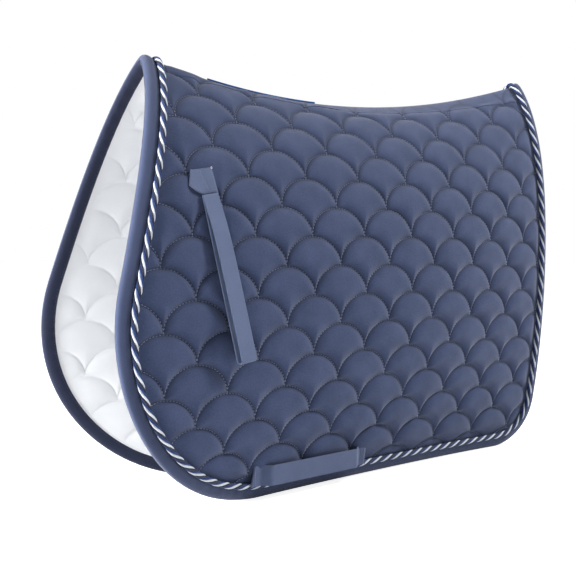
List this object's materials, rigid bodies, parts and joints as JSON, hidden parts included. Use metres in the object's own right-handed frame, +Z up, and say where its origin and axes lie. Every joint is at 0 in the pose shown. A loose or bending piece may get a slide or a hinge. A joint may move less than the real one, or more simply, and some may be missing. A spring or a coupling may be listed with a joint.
{
  "type": "saddle pad",
  "caption": "Quilted saddle pad with two flaps joined along the spine, bound edge, twisted trim cord, hanging billet loops and girth keepers.",
  "frame": {"origin": "centre of the pad's footprint, on the surface that the lower edges of its two flaps stand on", "axes": "+X to the rear of the pad along the spine, -Y to the near side, +Z up"},
  "size_m": [0.755, 0.2726, 0.5678],
  "materials": {
    "cover_cloth": "matte quilted cloth",
    "wadding": "foam and fibre",
    "lining_cloth": "matte woven cloth",
    "binding_cloth": "matte twill tape",
    "cord": "glossy twisted yarn",
    "webbing": "ribbed webbing",
    "thread": "sewing thread"
  },
  "bodies": {
    "near_side": {"near_outer_cover": "cover_cloth", "near_wadding": "wadding", "near_lining": "lining_cloth", "near_edge_binding": "binding_cloth", "near_trim_cord": "cord", "near_billet_patch": "webbing", "near_billet_tack": "thread", "near_girth_strap": "webbing", "near_girth_front_tack": "thread", "near_girth_rear_tack": "thread", "spine_tape_outer": "binding_cloth", "spine_tape_inner": "lining_cloth"},
    "off_side": {"off_outer_cover": "cover_cloth", "off_wadding": "wadding", "off_lining": "lining_cloth", "off_edge_binding": "binding_cloth", "off_trim_cord": "cord", "off_billet_patch": "webbing", "off_billet_tack": "thread", "off_girth_strap": "webbing", "off_girth_front_tack": "thread", "off_girth_rear_tack": "thread"},
    "near_billet": {"near_billet_strap": "webbing"},
    "off_billet": {"off_billet_strap": "webbing"}
  },
  "joints": [
    {"name": "spine_fold", "type": "hinge", "parent": "near_side", "child": "off_side", "pos_m": [0, 0, 0.552], "axis": [1, 0, 0], "range_deg": [-2.5, 60], "deforming": ["spine_tape_outer", "spine_tape_inner"]},
    {"name": "near_billet_swing", "type": "hinge", "parent": "near_side", "child": "near_billet", "pos_m": [-0.25547, -0.09754, 0.36644], "axis": [-0.9874, -0.038, -0.1536], "range_deg": [0, 120]},
    {"name": "off_billet_swing", "type": "hinge", "parent": "off_side", "child": "off_billet", "pos_m": [-0.25547, 0.09754, 0.36644], "axis": [0.9874, -0.038, 0.1536], "range_deg": [0, 120]}
  ]
}
